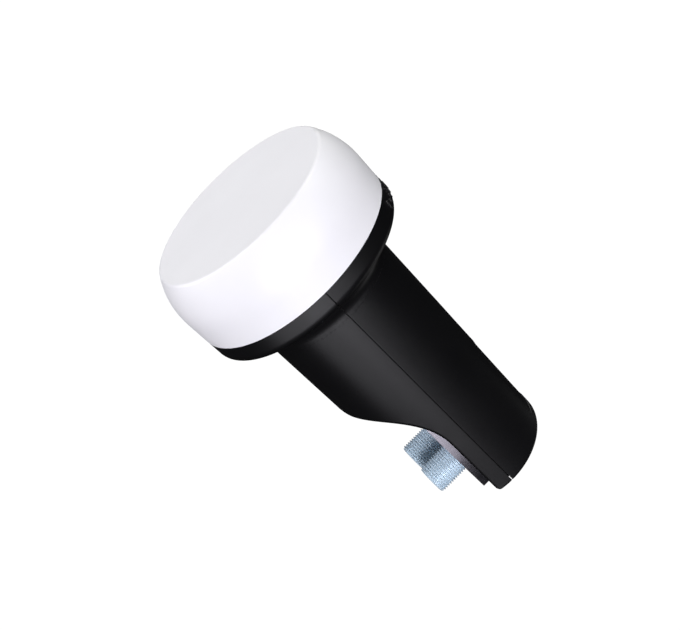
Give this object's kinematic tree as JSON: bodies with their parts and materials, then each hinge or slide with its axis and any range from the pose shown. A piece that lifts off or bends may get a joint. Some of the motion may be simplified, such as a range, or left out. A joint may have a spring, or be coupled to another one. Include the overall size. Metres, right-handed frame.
{
  "type": "satellite lnb",
  "caption": "Low-noise block downconverter for a satellite dish: domed white feed cap, round black neck and two threaded outputs under the rear.",
  "frame": {"origin": "on the boresight axis, at the middle of the neck that the feed clamp holds", "axes": "+X is the boresight, out of the feed cap; +Z is the top, away from the output ports; +Y is the left side seen from behind"},
  "size_m": [0.1089, 0.0596, 0.0599],
  "materials": {
    "white_plastic": "satin moulded, weather resistant",
    "black_plastic": "fine satin texture",
    "cast_metal": "die-cast, machined port face",
    "bright_metal": "nickel plated, threaded",
    "steel_zinc": "zinc plated",
    "seal_rubber": "soft black rubber",
    "board": "solder-masked laminate",
    "chip_black": "moulded package",
    "capacitor_ceramic": "fired ceramic with plated ends",
    "sleeve_white": "low-loss white plastic",
    "insulator_white": "moulded insulator",
    "contact_gold": "gold flashed brass"
  },
  "bodies": {
    "root": {"feed_cap": "white_plastic", "cap_seal": "seal_rubber", "feed_casting": "cast_metal", "upper_shroud": "black_plastic", "lower_shroud": "black_plastic", "chassis_cover": "steel_zinc", "cover_gasket": "seal_rubber", "cover_screws": "steel_zinc", "main_board": "board", "board_screws": "steel_zinc", "lna_transistors": "chip_black", "converter_chip": "chip_black", "reference_crystal": "steel_zinc", "voltage_regulators": "chip_black", "filter_capacitors": "capacitor_ceramic", "bias_chokes": "chip_black", "upright_probe": "contact_gold", "upright_probe_sleeve": "sleeve_white", "level_probe": "contact_gold", "level_probe_sleeve": "sleeve_white", "isolation_pin": "steel_zinc", "left_port_body": "bright_metal", "right_port_body": "bright_metal", "left_port_insulator": "insulator_white", "right_port_insulator": "insulator_white", "left_port_contact": "contact_gold", "right_port_contact": "contact_gold"}
  },
  "joints": []
}
